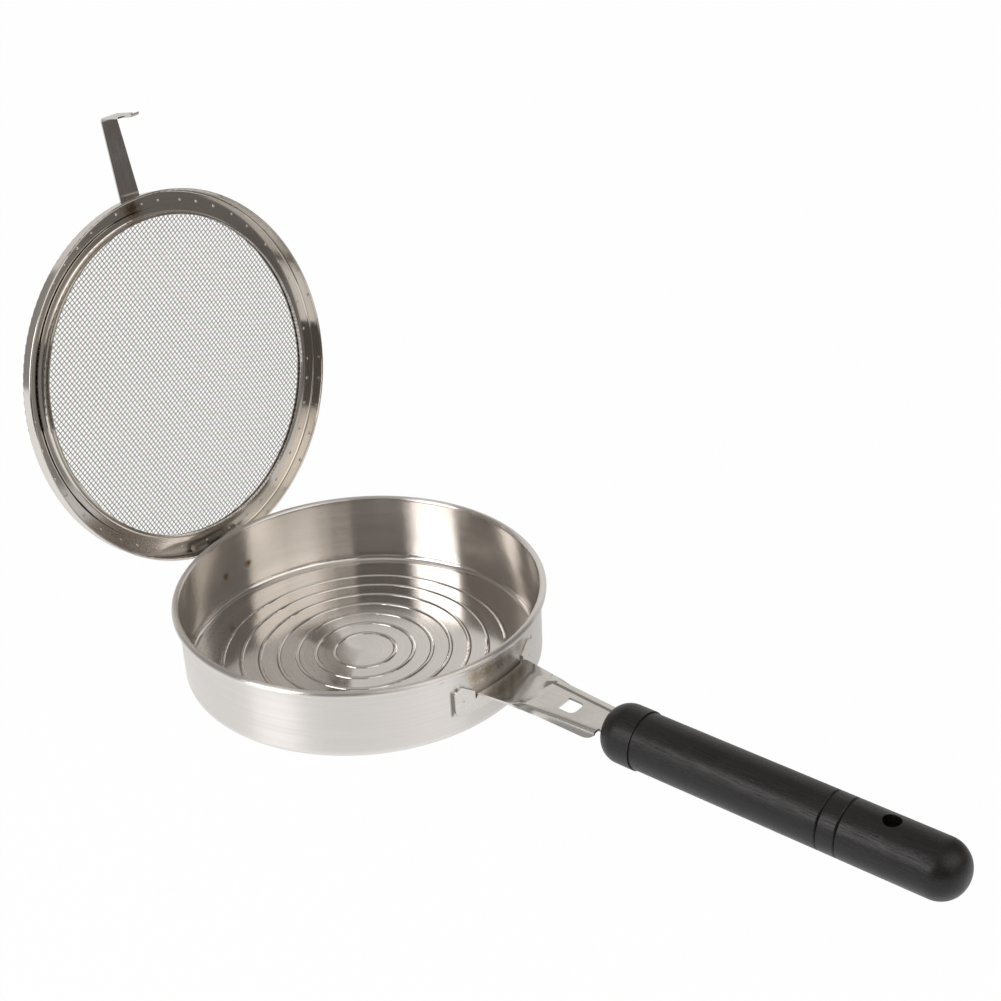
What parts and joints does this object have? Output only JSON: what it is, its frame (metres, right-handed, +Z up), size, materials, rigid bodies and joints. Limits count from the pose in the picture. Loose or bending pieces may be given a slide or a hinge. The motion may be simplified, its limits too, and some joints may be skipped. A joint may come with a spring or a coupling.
{
  "type": "hinged sieve strainer",
  "caption": "Shallow round steel strainer pan with a dark turned wood handle and a hinged wire sieve lid whose strip hooks into a slot in the handle bracket.",
  "frame": {"origin": "centre of the pan's flat underside", "axes": "+Z up out of the pan, +X along the handle, hinge on the side of -X, lid standing open"},
  "size_m": [0.4901, 0.1934, 0.2647],
  "materials": {
    "pan_steel": "polished stainless sheet with fine circular spin lines",
    "bracket_steel": "satin stainless sheet",
    "handle_wood": "black lacquered turned wood with open pores",
    "hinge_steel": "satin stainless sheet and wire",
    "lid_steel": "polished stainless sheet",
    "sieve_wire": "woven stainless wire",
    "latch_steel": "satin stainless spring strip"
  },
  "bodies": {
    "pan": {"pan_body": "pan_steel", "handle_bracket": "bracket_steel", "wood_handle": "handle_wood", "hinge_leaf_pan": "hinge_steel", "hinge_pin": "hinge_steel"},
    "lid": {"lid_ring": "lid_steel", "clamp_ring": "lid_steel", "mesh_screen": "sieve_wire", "latch_strip": "latch_steel", "hinge_leaf_lid": "hinge_steel"}
  },
  "joints": [
    {"name": "lid_hinge", "type": "hinge", "parent": "pan", "child": "lid", "pos_m": [-0.095, 0, 0.033], "axis": [0, 1, 0], "range_deg": [0, 101.4]}
  ]
}
